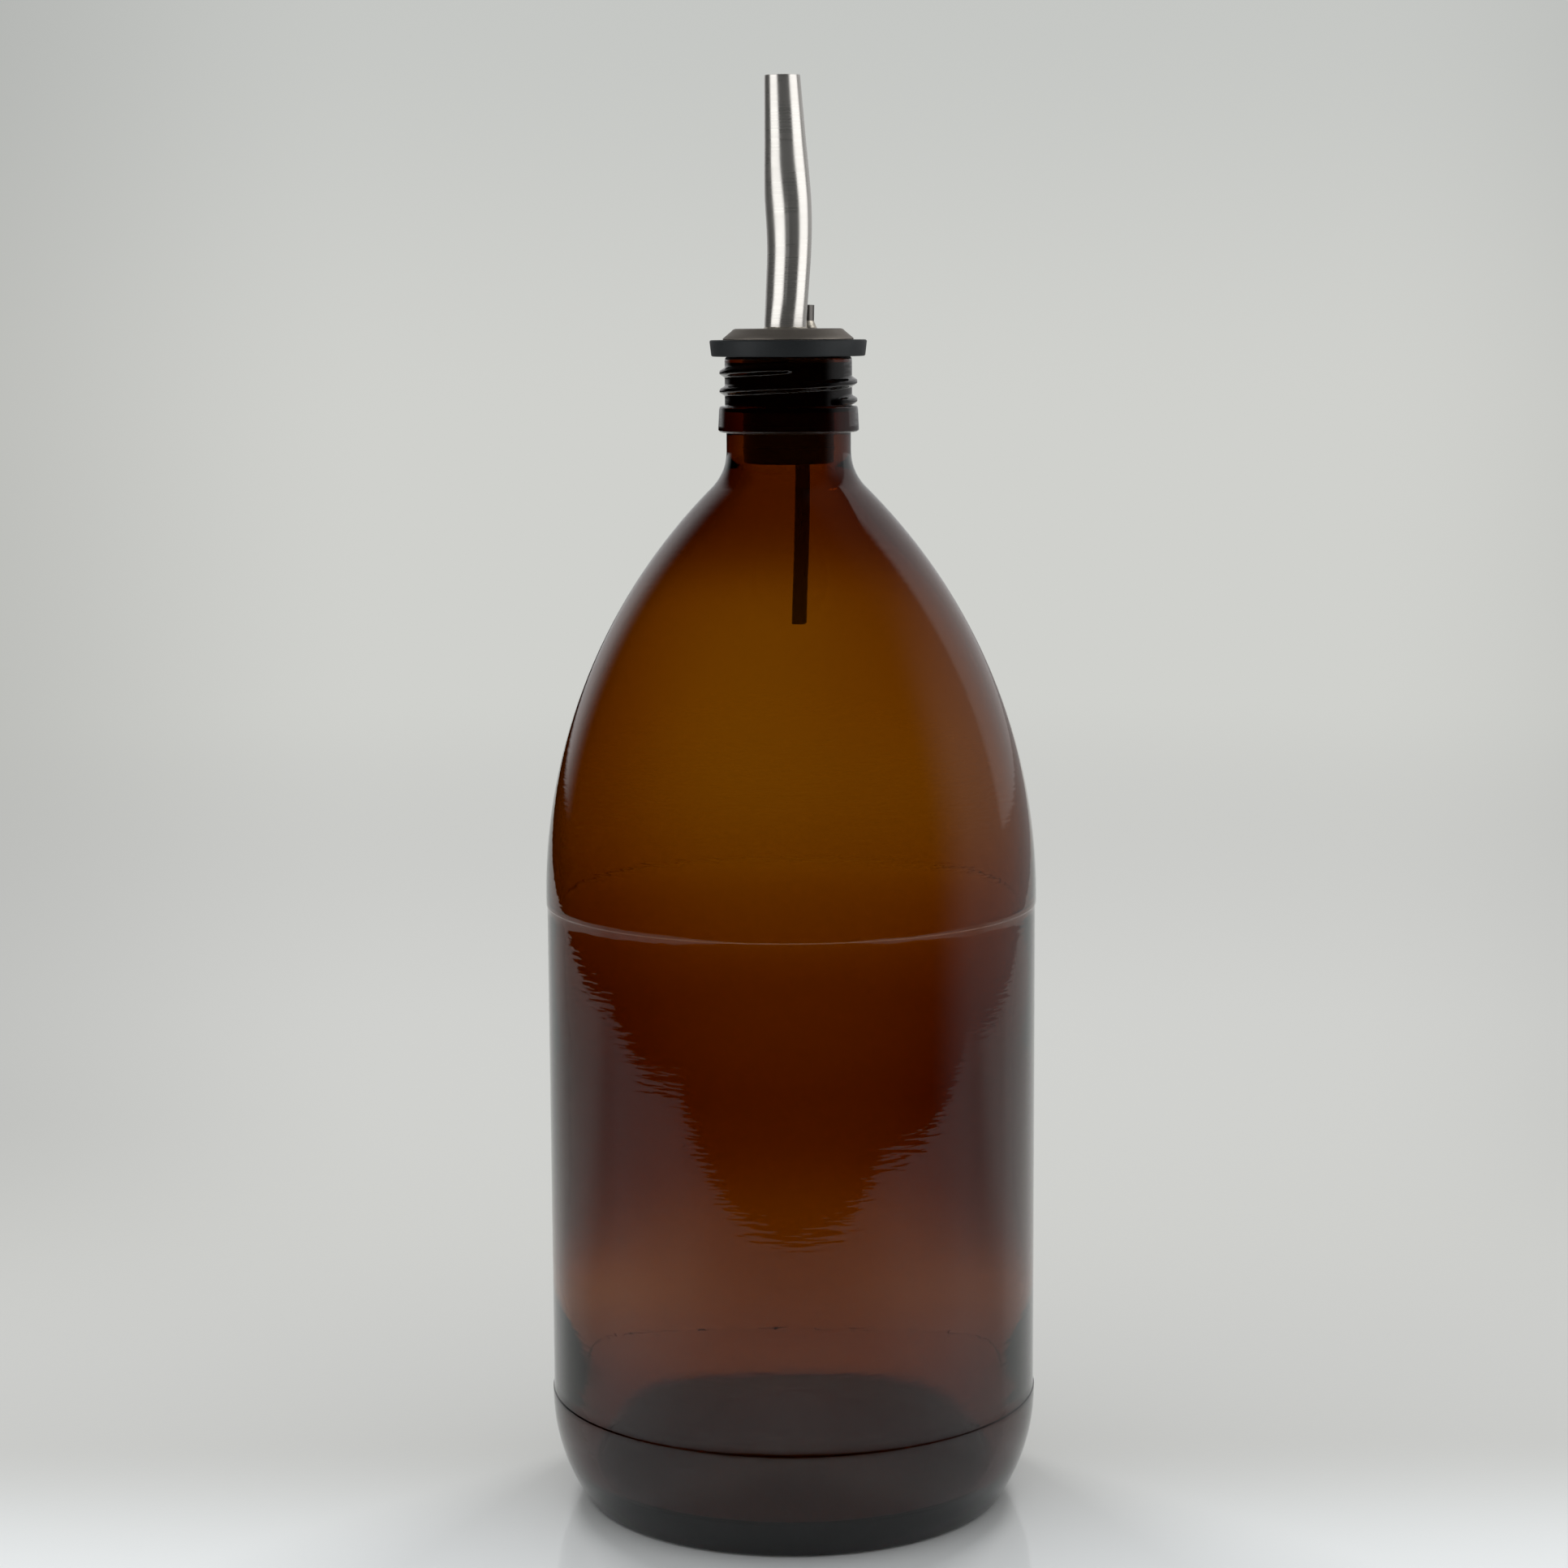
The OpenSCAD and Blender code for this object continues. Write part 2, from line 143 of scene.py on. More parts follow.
class BottlePourer(bpy.types.PropertyGroup):
    """Sizes and finishes of the stopper and the steel parts."""
    flange_foot: length("Flange foot radius", "Radius of the flange at its lower edge", 15.2 * MM)
    flange_top: length("Flange top radius", "Radius of the flange at its upper edge", FLANGE_RADIUS)
    flange_round: length("Flange rounding", "Rounding of the flange's edges", 0.35 * MM)
    core: length("Plug radius", "Radius of the plug between its fins", 8.95 * MM)
    grip: length("Grip radius", "Radius where the plug is pressed against the glass", 9.22 * MM)
    fin: length("Fin radius", "Radius over the fins", 9.15 * MM)
    fin_pitch: length("Fin pitch", "Distance from fin to fin", 4.2 * MM)
    fin_first: length("First fin", "Distance from the plug's end to the first fin", 3.6 * MM)
    fin_count: IntProperty(name="Fins", description="Number of fins", default=2)
    fin_root: length("Fin root", "Thickness of a fin at the plug", 1.3 * MM)
    fin_edge: length("Fin edge", "Thickness of a fin at its edge", 0.5 * MM)
    sleeve_hole: length("Sleeve hole", "Radius of the stopper's bore", 7.1 * MM)
    disc_radius: length("Disc radius", "Radius of the disc at its rim", 12.9 * MM)
    disc_flat: length("Disc flat", "Radius where the disc's top turns down", 11.1 * MM)
    sheet: length("Sheet", "Thickness of the disc", 0.6 * MM)
    spout_x: length("Spout x", "Place of the spout's foot, left to right", -0.5 * MM)
    spout_y: length("Spout y", "Place of the spout's foot, front to back", -1.0 * MM)
    spout_foot: length("Spout foot radius", "Radius of the spout at its foot", 3.65 * MM)
    spout_bend: length("Spout bend radius", "Radius of the spout at its bend", 4.05 * MM)
    spout_tip: length("Spout tip radius", "Radius of the spout at its tip", 2.95 * MM)
    spout_wall: length("Spout wall", "Wall of the spout", 0.5 * MM)
    spout_tail: length("Spout tail", "How far the spout reaches below the disc's top", 1.2 * MM)
    bend_height: length("Bend height", "Height of the bend above the disc", 25.5 * MM)
    bend_length: length("Bend length", "Length of tube that a bend takes", 10 * MM)
    lean: FloatProperty(
        name="Lean", description="Lean of the spout above its bend", default=math.radians(11),
        subtype="ANGLE")
    flat: share("Flattening", "How much the tube is pressed flat at its bend", 0.03)
    bow_height: length("Bow height", "Height of the slight sideways bow above the disc", 17 * MM)
    bow: length("Bow", "Shift of the bow to the right", 0.95 * MM)
    press: share("Press", "How much the tube is pressed oval, slantwise, below its bend", 0.07)
    crease: length("Crease", "Height of the crease that the press leaves at the front", 0.09 * MM)
    tip_shift: length("Tip shift", "Shift of the tip to the right", -0.4 * MM)
    air_radius: length("Air tube radius", "Radius of the air tube", 1.5 * MM)
    air_wall: length("Air tube wall", "Wall of the air tube", 0.35 * MM)
    air_length: length("Air tube length", "Length of the air tube", 63 * MM)
    air_stub: length("Air tube stub", "Height of the air tube above the disc", 4.6 * MM)
    air_x: length("Air tube x", "Place of the air tube in the disc, left to right", 3.6 * MM)
    air_y: length("Air tube y", "Place of the air tube in the disc, front to back", 2.8 * MM)
    braze_height: length("Braze height", "Height of the braze around the feet", 1.5 * MM)
    braze_width: length("Braze width", "Spread of the braze on the disc", 0.7 * MM)
    rubber: colour("Rubber", "Colour of the rubber", "1D2022")
    steel: colour("Steel", "Colour of the stainless steel", "D2CFCA")
    dull_steel: colour("Dull steel", "Colour of the disc's duller steel", "928B83")
    air_steel: colour("Air tube steel", "Colour of the air tube's darker steel", "5E5B58")
    braze: colour("Braze", "Colour of the braze", "C4BDB0")


class BottleStudio(bpy.types.PropertyGroup):
    """The table, the backdrop and the lights."""
    floor: colour("Floor", "Colour of the table well behind the bottle", "CFD0CC")
    floor_behind: colour("Floor behind", "Colour of the table close behind the bottle", "CFD0CD")
    # Painted light: the table in front is paler, to lift it where the bottle's shadow falls.
    floor_front_painted_light: colour("Floor in front", "Colour of the table in front of the bottle", "F6FAFB")
    backdrop: colour("Backdrop", "Colour of the backdrop at the horizon", "D0D1CD")
    sky: colour("Upper backdrop", "Colour of the backdrop higher up", "C5C7C4")
    fill: FloatProperty(name="Fill", description="Strength of the soft light from all round", default=0.68)
    strip_strength: FloatProperty(
        name="Strip lights", description="How bright brushed steel sees the strip lights", default=1.6)
    lamp_power: FloatProperty(name="Lamp power", description="Power of each of the two lamps", default=3.0)


# ---------------------------------------------------------------- outlines

def arc(centre, radius, start, end, steps=12):
    """Points on an arc between two angles in degrees."""
    angles = [math.radians(start + (end - start) * i / steps) for i in range(steps + 1)]
    return [(centre[0] + radius * math.cos(a), centre[1] + radius * math.sin(a)) for a in angles]


def shoulder(foot, top, fillet, steps=48):
    """An arc that leaves foot upwards, then a hollow round that ends upright at top."""
    width, height = foot[0] - top[0], top[1] - foot[1]
    both = (height ** 2 + width ** 2) / (2 * width)
    dome, turn = both - fillet, math.degrees(math.acos(1 - width / both))
    return arc((foot[0] - dome, foot[1]), dome, 0, turn, steps) + arc(
        (top[0] + fillet, top[1]), fillet, 180 + turn, 180, steps // 3)[1:]


def heel(centre, radius, corner, foot, steps=24):
    """A round about centre that ends in a smaller corner round at height foot, listed upwards."""
    rise = centre[1] - foot - corner
    reach = math.sqrt((radius - corner) ** 2 - rise ** 2)
    turn = -math.degrees(math.asin(rise / (radius - corner)))
    return arc((centre[0] + reach, foot + corner), corner, -90, turn, 8) + arc(
        centre, radius, turn, 0, steps)[1:]


def low_dome(radius, rise, foot, steps=14):
    """Points from the axis out to radius, on a low dome over height foot."""
    turns = [math.pi / 2 * i / steps for i in range(steps + 1)]
    return [(radius * i / steps, foot + rise * math.cos(turn) ** 2) for i, turn in enumerate(turns)]


def ramp(start, end, steps=6):
    """A soft step between two points."""
    turns = [i / steps for i in range(steps + 1)]
    return [(start[0] + (end[0] - start[0]) * (1 - math.cos(math.pi * t)) / 2,
             start[1] + (end[1] - start[1]) * t) for t in turns]


def spaced(points, step):
    """The same outline with no stretch longer than step."""
    result = [points[0]]
    for a, b in zip(points, points[1:]):
        count = max(1, math.ceil(math.dist(a, b) / step - 0.01))
        result += [tuple(a[k] + (b[k] - a[k]) * i / count for k in (0, 1)) for i in range(1, count + 1)]
    return result


# ---------------------------------------------------------------- modelling

def deselect():
    """Nothing is selected, so that an operator acts on the new piece alone."""
    bpy.ops.object.select_all(action="DESELECT")


def edit(mode="VERT"):
    """Edit mode on the active piece."""
    bpy.ops.object.mode_set(mode="EDIT")
    bpy.ops.mesh.select_mode(type=mode)


def leave():
    """Back to object mode."""
    bpy.ops.object.mode_set(mode="OBJECT")


def name_piece(name):
    """The active object under its own name, and its mesh too."""
    piece = bpy.context.object
    piece.name = piece.data.name = name
    return piece


def clean(piece):
    """Merges doubles and turns all faces outwards."""
    edit()
    bpy.ops.mesh.select_all(action="SELECT")
    bpy.ops.mesh.remove_doubles(threshold=MERGE)
    bpy.ops.mesh.normals_make_consistent(inside=False)
    leave()
    return piece


def trace(name, points):
    """A line drawn from one vertex by extruding it from point to point in the XZ plane."""
    deselect()
    bpy.ops.mesh.primitive_plane_add(size=MM)
    piece = name_piece(name)
    edit()
    bpy.ops.mesh.merge(type="CENTER")
    bpy.ops.transform.translate(value=(points[0][0], 0, points[0][1]))
    for a, b in zip(points, points[1:]):
        bpy.ops.mesh.extrude_vertices_move(
            TRANSFORM_OT_translate={"value": (b[0] - a[0], 0, b[1] - a[1])})
    leave()
    return piece


def turned(name, points, segments, at=(0, 0)):
    """A piece turned about an upright axis from its outline."""
    piece = trace(name, points)
    edit()
    bpy.ops.mesh.select_all(action="SELECT")
    bpy.ops.mesh.spin(steps=segments, angle=math.tau, center=(0, 0, 0), axis=(0, 0, 1))
    bpy.ops.mesh.select_all(action="SELECT")
    bpy.ops.transform.translate(value=(at[0], at[1], 0))
    leave()
    return clean(piece)


def apply_modifier(piece, kind, **settings):
    """Adds a modifier to the piece and applies it."""
    deselect()
    piece.select_set(True)
    bpy.context.view_layer.objects.active = piece
    modifier = piece.modifiers.new(kind.title(), kind)
    for key, value in settings.items():
        setattr(modifier, key, value)
    bpy.ops.object.modifier_apply(modifier=modifier.name)


def carve(piece, tool, operation="DIFFERENCE"):
    """Cuts or joins a tool piece and removes it."""
    apply_modifier(piece, "BOOLEAN", object=tool, operation=operation, solver="EXACT")
    bpy.data.objects.remove(tool, do_unlink=True)
    clean(piece)


def smooth(piece, angle=30):
    """Shades the piece smooth, but for edges sharper than angle."""
    deselect()
    piece.select_set(True)
    bpy.context.view_layer.objects.active = piece
    bpy.ops.object.shade_smooth_by_angle(angle=math.radians(angle))


def finish_piece(piece, body, material, slot, *nodes):
    """Gives a piece its finish and its body, and hides the nodes that it stands for."""
    piece.data.materials.clear()
    piece.data.materials.append(material)
    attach(piece, body)
    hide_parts(*nodes)


def tube(name, rings, sides):
    """An open tube extruded ring by ring: each ring is its centre and its two radii."""
    deselect()
    centre, wide, deep = rings[0]
    bpy.ops.mesh.primitive_circle_add(vertices=sides, radius=1, location=(0, 0, 0))
    piece = name_piece(name)
    edit("EDGE")
    bpy.ops.mesh.select_all(action="SELECT")
    bpy.ops.transform.resize(value=(wide, deep, 1), center_override=(0, 0, 0))
    bpy.ops.transform.translate(value=centre)
    for before, after in zip(rings, rings[1:]):
        step = Vector(after[0]) - Vector(before[0])
        bpy.ops.mesh.extrude_edges_move(TRANSFORM_OT_translate={"value": step})
        bpy.ops.transform.resize(
            value=(after[1] / before[1], after[2] / before[2], 1), center_override=after[0])
    leave()
    return clean(piece)


def thicken(piece, wall, edge):
    """Gives a tube its wall, inwards, and breaks its cut edges."""
    apply_modifier(piece, "SOLIDIFY", thickness=wall, offset=-1, use_even_offset=True)
    apply_modifier(piece, "BEVEL", width=edge, segments=2, limit_method="ANGLE", angle_limit=SHARP)


# ---------------------------------------------------------------- materials

# A soft Map Range takes a value, where its change starts and ends, and what it gives there, 0 and 1 if
# nothing is said.
SOFT = {"interpolation_type": "SMOOTHSTEP"}

# A Mix of colours, and the numbers of its two colour inputs and its output.
COLOURS = {"data_type": "RGBA"}
FIRST, SECOND, MIXED = 6, 7, 2


def add_node(tree, kind, *values, inputs=None, **settings):
    """Adds a node with its settings and links, and gives its outputs. An input is a value, or the output
    that it is linked to: values fill the first inputs in order, and inputs are by name or number."""
    node = tree.nodes.new("ShaderNode" + kind)
    for key, value in settings.items():
        setattr(node, key, value)
    for key, value in (dict(enumerate(values)) | (inputs or {})).items():
        if isinstance(value, bpy.types.NodeSocket):
            tree.links.new(value, node.inputs[key])
        else:
            node.inputs[key].default_value = value
    return node.outputs


def new_material(name):
    """A new material, its tree and the piece's own coordinates in it."""
    material = bpy.data.materials.new(name)
    material.use_nodes = True
    tree = material.node_tree
    tree.nodes.clear()
    return material, tree, add_node(tree, "TexCoord")["Object"]


def moulded_amber_glass(settings):
    """Amber soda-lime glass, blown in an iron mould: clear and smooth, brown by its thickness alone. The
    mould leaves faint level ripples that fray reflections, drawn 0.8 mm apart and a few microns deep, and
    the wall sags in slow waves, 36 mm across and 70 mm up, that bend them."""
    material, tree, place = new_material("moulded amber soda-lime glass")
    fine = add_node(tree, "Mapping", place, inputs={"Scale": (180, 180, 1200)})[0]
    ripple = add_node(tree, "TexNoise", fine, inputs={"Scale": 1.0, "Detail": 1.0, "Roughness": 0.5})[0]
    slow = add_node(tree, "Mapping", place, inputs={"Scale": (28, 28, 14)})[0]
    sag = add_node(tree, "TexNoise", slow, inputs={"Scale": 1.0, "Detail": 1.0, "Roughness": 0.4})[0]
    skin = add_node(tree, "Bump", inputs={"Height": sag, "Distance": 0.00006})[0]
    skin = add_node(tree, "Bump", inputs={"Height": ripple, "Distance": 0.000013, "Normal": skin})[0]
    shader = add_node(tree, "BsdfPrincipled", inputs={
        "Base Color": (1, 1, 1, 1), "Roughness": 0.0, "IOR": 1.52, "Transmission Weight": 1.0,
        "Normal": skin})
    inside = add_node(tree, "VolumeAbsorption", inputs={
        "Color": (*settings.tint, 1), "Density": settings.depth})
    add_node(tree, "OutputMaterial", inputs={"Surface": shader[0], "Volume": inside[0]})
    return material


def moulded_rubber(settings):
    """Black nitrile rubber, pressed in a mould: matt, with a grain 0.4 mm across and patches of 6 mm that
    are a little smoother, so it never mirrors the lights."""
    material, tree, place = new_material("moulded black nitrile rubber")
    grain = add_node(tree, "TexNoise", place, inputs={"Scale": 2600.0, "Detail": 3.0, "Roughness": 0.6})[0]
    patches = add_node(tree, "TexNoise", place, inputs={"Scale": 160.0, "Detail": 2.0})[0]
    rough = add_node(tree, "MapRange", patches, 0.3, 0.7, 0.5, 0.62, **SOFT)[0]
    skin = add_node(tree, "Bump", inputs={"Height": grain, "Distance": 0.00003})[0]
    shader = add_node(tree, "BsdfPrincipled", inputs={
        "Base Color": (*settings.rubber, 1), "Roughness": rough, "Specular IOR Level": 0.25,
        "Normal": skin})
    add_node(tree, "OutputMaterial", shader[0])
    return material


def polished_steel(name, tone, roughness, anisotropy, lines):
    """Austenitic stainless steel, drawn or polished on a turning belt: its lines smear highlights across
    themselves, and 7 mm patches of handling dull them. lines is how often the polish changes per metre
    along each axis: the belt's 6500 is grit drawn 0.15 mm wide, as coarse as it needs to show."""
    material, tree, place = new_material(name)
    along = add_node(tree, "Mapping", place, inputs={"Scale": lines})[0]
    rub = add_node(tree, "TexNoise", along, inputs={"Scale": 1.0, "Detail": 3.0, "Roughness": 0.6})[0]
    wear = add_node(tree, "TexNoise", place, inputs={"Scale": 140.0, "Detail": 2.0})[0]
    rubbed = add_node(tree, "MapRange", rub, 0.3, 0.7, roughness - 0.05, roughness + 0.05, **SOFT)[0]
    worn = add_node(tree, "MapRange", wear, 0.4, 0.7, 0.0, 0.05, **SOFT)[0]
    rough = add_node(tree, "Math", rubbed, worn, operation="ADD")[0]
    around = add_node(tree, "Tangent", direction_type="RADIAL", axis="Z")[0]
    skin = add_node(tree, "Bump", inputs={"Height": rub, "Distance": 0.000002})[0]
    shader = add_node(tree, "BsdfPrincipled", inputs={
        "Base Color": (*tone, 1), "Metallic": 1.0, "Roughness": rough, "Anisotropic": anisotropy,
        "Anisotropic Rotation": 0.25, "Tangent": around, "Normal": skin})
    add_node(tree, "OutputMaterial", shader[0])
    return material


def smoothed_braze(settings):
    """Silver braze, flowed around the feet and wiped: a paler metal, a little duller and lumpy at 1 mm."""
    material, tree, place = new_material("smoothed silver braze")
    lumps = add_node(tree, "TexNoise", place, inputs={"Scale": 900.0, "Detail": 2.0})[0]
    skin = add_node(tree, "Bump", inputs={"Height": lumps, "Distance": 0.00012})[0]
    shader = add_node(tree, "BsdfPrincipled", inputs={
        "Base Color": (*settings.braze, 1), "Metallic": 1.0, "Roughness": 0.32, "Normal": skin})
    add_node(tree, "OutputMaterial", shader[0])
    return material


# ---------------------------------------------------------------- glass

# How blowing changes the wall, as growth of the inner radius, the height of its middle and how fast it
# fades: thinner above the heel, thicker at the foot of the shoulder and thickest under the neck.
WALL_CHANGES = (
    (1.9 * MM, 43 * MM, 14 * MM),
    (-0.6 * MM, 119 * MM, 14 * MM),
    (-1.5 * MM, 201 * MM, 11 * MM))

# The inner wall wanders by this much between two heights, and the wander fades in and out. Its waves are
# counted per metre, around and upwards.
DRIFT = 0.35 * MM
DRIFT_FOOT, DRIFT_TOP, DRIFT_FADE = 20 * MM, 200 * MM, 15 * MM
DRIFT_WAVES, DRIFT_WAVES_UP = 26, 11

# The longest stretch between two points of the outline.
OUTSIDE_STEP, FINISH_STEP, THREAD_STEP, INSIDE_STEP = 1.8 * MM, 1.0 * MM, 0.16 * MM, 2.3 * MM

# The hollow round at the bead's foot and top, the plain wall that the thread leaves above the bead, and
# how far inside the wall's radius a point still counts as on the wall.
BEAD_ROOT = 0.2 * MM
BEAD_ROOM = 0.3 * MM
TOLERANCE = 0.01 * MM

# The thread's ridge ends this many half widths from its middle, its flank takes this many, and each end
# runs out over this share of a turn.
RIDGE_END, RIDGE_FLANK, RUN_OUT = 1.12, 0.9, 0.06


def wall_change(z):
    """How much blowing has widened the inside at this height."""
    return sum(growth * math.exp(-((z - middle) / fade) ** 2) for growth, middle, fade in WALL_CHANGES)


def glass_outline(g):
    """The outside of the glass from the middle of the base to the lip, then the inside back down."""
    centre = (g.ring_radius - g.heel_radius, g.panel_foot - g.ring_height)
    panel_radius = g.ring_radius - g.ring_step
    ring_top = g.panel_top + g.ring_height
    heel_line = heel(centre, g.heel_radius, g.base_edge, foot=0, steps=40)
    outer = low_dome(heel_line[0][0] - g.bearing, g.push_up, foot=0)
    outer += heel_line
    outer += ramp((g.ring_radius, g.panel_foot), (panel_radius, g.panel_foot + g.step_run))
    outer += ramp((panel_radius, g.panel_top - g.step_run), (g.ring_radius, g.panel_top))
    outer += shoulder((g.ring_radius, ring_top), (g.neck_radius, g.neck_foot), g.neck_fillet, steps=60)
    outer = spaced(outer, OUTSIDE_STEP)
    edge, root = g.bead_edge, BEAD_ROOT
    finish = [(g.neck_radius, g.bead_foot - root)]
    finish += arc((g.neck_radius + root, g.bead_foot - root), root, 180, 90, steps=4)[1:]
    finish += arc((g.bead_radius - edge, g.bead_foot + edge), edge, -90, 0, steps=6)
    finish += arc((g.bead_radius - g.bead_draft - edge, g.bead_top - edge), edge, 0, 90, steps=6)
    finish += arc((g.finish_radius + root, g.bead_top + root), root, 270, 180, steps=4)
    finish = spaced(finish, FINISH_STEP)
    wall = spaced([finish[-1], (g.finish_radius, g.height - g.lip)], THREAD_STEP)
    mouth = arc((g.finish_radius - g.lip, g.height - g.lip), g.lip, 0, 90, steps=6)
    inner_radius = panel_radius - g.wall
    inner = heel(centre, inner_radius - centre[0], g.floor_corner, g.floor, steps=20)
    inner = low_dome(inner[0][0], g.floor_rise, g.floor) + inner
    inner += [(inner_radius, ring_top - g.taper)]
    inner += shoulder(
        (g.ring_radius - g.shoulder_wall, ring_top), (g.bore, g.bore_foot), g.bore_fillet, steps=40)
    inner += arc((g.bore + g.lip, g.height - g.lip), g.lip, 180, 90, steps=6)
    inner = spaced(inner, INSIDE_STEP)
    inner = [(max(r + wall_change(z), g.bore) if r > g.bore else r, z) for r, z in inner]
    return outer + finish + wall + mouth + inner[::-1]


def thread_height(g, angle, z):
    """How far the thread stands out of the wall here, from 0 to 1: one rounded ridge that climbs to the
    right and runs out softly at both ends."""
    first = ((g.thread_start - angle) / math.tau) % 1.0
    best = 0.0
    for turn in (first - 1, first, first + 1, first + 2):
        inside = min(turn, g.thread_turns - turn)
        if inside <= 0:
            continue
        away = abs(z - (g.height - g.thread_drop - g.thread_pitch * turn)) / (g.thread_width / 2)
        ridge = min(1.0, max(0.0, (RIDGE_END - away) / RIDGE_FLANK))
        ridge = ridge * ridge * (3 - 2 * ridge)
        best = max(best, ridge * math.sin(min(1.0, inside / RUN_OUT) * math.pi / 2))
    return best


class OILBOTTLE_OT_glass(bpy.types.Operator):
    """Blow the glass: turn the bottle from its outline, raise its thread and let its wall wander a bit"""
    bl_idname = "oilbottle.glass"
    bl_label = "Glass bottle"

    def execute(self, context):
        g = context.scene.bottle_glass
        piece = turned("glass_bottle", glass_outline(g), g.segments)
        lift = g.thread_radius - g.finish_radius
        facing_in = [v.normal.x * v.co.x + v.normal.y * v.co.y < 0 for v in piece.data.vertices]
        for vertex, inside in zip(piece.data.vertices, facing_in):
            x, y, z = vertex.co
            radius = math.hypot(x, y)
            if radius > g.finish_radius - TOLERANCE and z > g.bead_top + BEAD_ROOM:
                grow = lift * thread_height(g, math.atan2(y, x), z) / radius
                vertex.co = (x * (1 + grow), y * (1 + grow), z)
            elif inside and DRIFT_FOOT < z < DRIFT_TOP:
                ends = min(1, (z - DRIFT_FOOT) / DRIFT_FADE, (DRIFT_TOP - z) / DRIFT_FADE)
                wave = noise.noise((x * DRIFT_WAVES, y * DRIFT_WAVES, z * DRIFT_WAVES_UP))
                drift = wave * DRIFT * ends / radius
                vertex.co = (x * (1 + drift), y * (1 + drift), z)
        smooth(piece, angle=50)
        finish_piece(piece, "bottle", moulded_amber_glass(g), "amber_glass", *GLASS_NODES)
        return {"FINISHED"}


# ---------------------------------------------------------------- stopper

# The plug's lower edge, the hollow at a fin's root (out of the core and beyond the fin), and the chamfer
# of the hole's upper edge.
PLUG_ROUND = 0.3 * MM
ROOT_OUT, ROOT_BEYOND = 0.15 * MM, 0.2 * MM
HOLE_CHAMFER = 0.2 * MM

# The pressed part starts this share of a pitch below the place of one more fin, and widens over
# PLUG_ROUND. It ends, and the core goes on, this far below the flange.
GRIP_START = 0.4
GRIP_END, CORE_AGAIN = 1.2 * MM, 0.9 * MM
RUBBER_STEP = 1.5 * MM


class OILBOTTLE_OT_stopper(bpy.types.Operator):
    """Mould the rubber stopper: a flange, a plug and its sealing fins around an open bore"""
    bl_idname = "oilbottle.stopper"
    bl_label = "Rubber stopper"

    def execute(self, context):
        p = context.scene.bottle_pourer
        top, foot, soft, hole = DISC_FOOT, GLASS_TOP, p.flange_round, p.sleeve_hole
        line = [(hole, PLUG_END + PLUG_ROUND), (hole + PLUG_ROUND, PLUG_END)]
        line += arc((p.core - PLUG_ROUND, PLUG_END + PLUG_ROUND), PLUG_ROUND, -90, 0, steps=4)
        for i in range(p.fin_count):
            level, half = PLUG_END + p.fin_first + i * p.fin_pitch, p.fin_root / 2
            line += [(p.core, level - half - ROOT_BEYOND), (p.core + ROOT_OUT, level - half)]
            line += arc((p.fin - p.fin_edge / 2, level), p.fin_edge / 2, -90, 90, steps=6)
            line += [(p.core + ROOT_OUT, level + half), (p.core, level + half + ROOT_BEYOND)]
        level = PLUG_END + p.fin_first + (p.fin_count - GRIP_START) * p.fin_pitch
        line += [(p.core, level - PLUG_ROUND), (p.grip, level), (p.grip, foot - GRIP_END)]
        line += [(p.core, foot - CORE_AGAIN), (p.core, foot), (p.flange_foot - soft, foot)]
        line += arc((p.flange_foot - soft, foot + soft), soft, -90, 0, steps=4)
        line += arc((p.flange_top - soft, top - soft), soft, 0, 90, steps=4)
        line += [(hole + HOLE_CHAMFER, top), (hole, top - HOLE_CHAMFER)]
        line += [line[0]]
        piece = turned("rubber_stopper", spaced(line, RUBBER_STEP), segments=96)
        smooth(piece, angle=40)
        finish_piece(piece, "stopper", moulded_rubber(p), "black_rubber", "stopper")
        return {"FINISHED"}


# ---------------------------------------------------------------- disc

# The corner under the disc, inwards and down, the flat of its rim, the rim's rounding, and the round
# from its top down to its side, with how far inside the top's edge it is centred.
UNDER_IN, UNDER_DOWN = 0.3 * MM, 0.25 * MM
RIM_FLAT, RIM_ROUND = 0.15 * MM, 0.2 * MM
TOP_ROUND, TOP_ROUND_IN = 1.2 * MM, 0.9 * MM

# The room around a tube in its hole, and the depth of the cutter.
HOLE_ROOM = 0.05 * MM
CUTTER = 6 * MM
DISC_STEP = 1.5 * MM


class OILBOTTLE_OT_disc(bpy.types.Operator):
    """Draw the collar disc from sheet steel and pierce it for the spout and the air tube"""
    bl_idname = "oilbottle.disc"
    bl_label = "Collar disc"

    def execute(self, context):
        p = context.scene.bottle_pourer
        s, flat, rim = p.sheet, p.disc_flat, p.disc_radius
        line = [(0, DISC_TOP - s), (flat - s - UNDER_IN, DISC_TOP - s)]
        line += [(flat - s, DISC_TOP - s - UNDER_DOWN), (rim - s, DISC_FOOT), (rim - RIM_FLAT, DISC_FOOT)]
        line += arc((rim - RIM_ROUND, DISC_FOOT + RIM_ROUND), RIM_ROUND, -60, 30, steps=4)
        line += arc((flat - TOP_ROUND_IN, DISC_TOP - TOP_ROUND), TOP_ROUND, 40, 90, steps=8)
        line += [(0, DISC_TOP)]
        piece = turned("pourer_disc", spaced(line, DISC_STEP), segments=96)
        for x, y, radius in ((p.spout_x, p.spout_y, p.spout_foot), (p.air_x, p.air_y, p.air_radius)):
            deselect()
            bpy.ops.mesh.primitive_cylinder_add(
                vertices=64, radius=radius + HOLE_ROOM, depth=CUTTER, location=(x, y, DISC_TOP))
            carve(piece, bpy.context.object)
        smooth(piece, angle=35)
        metal = polished_steel("spun stainless steel", p.dull_steel, 0.55, 0.0, (500, 500, 500))
        finish_piece(piece, "pourer", metal, "stainless_steel", "collar_disc")
        return {"FINISHED"}


# ---------------------------------------------------------------- tubes

# The spout's line ends this much below its top, because the wall of the leaning tip rises past it.
TIP_ROOM = 0.12 * MM

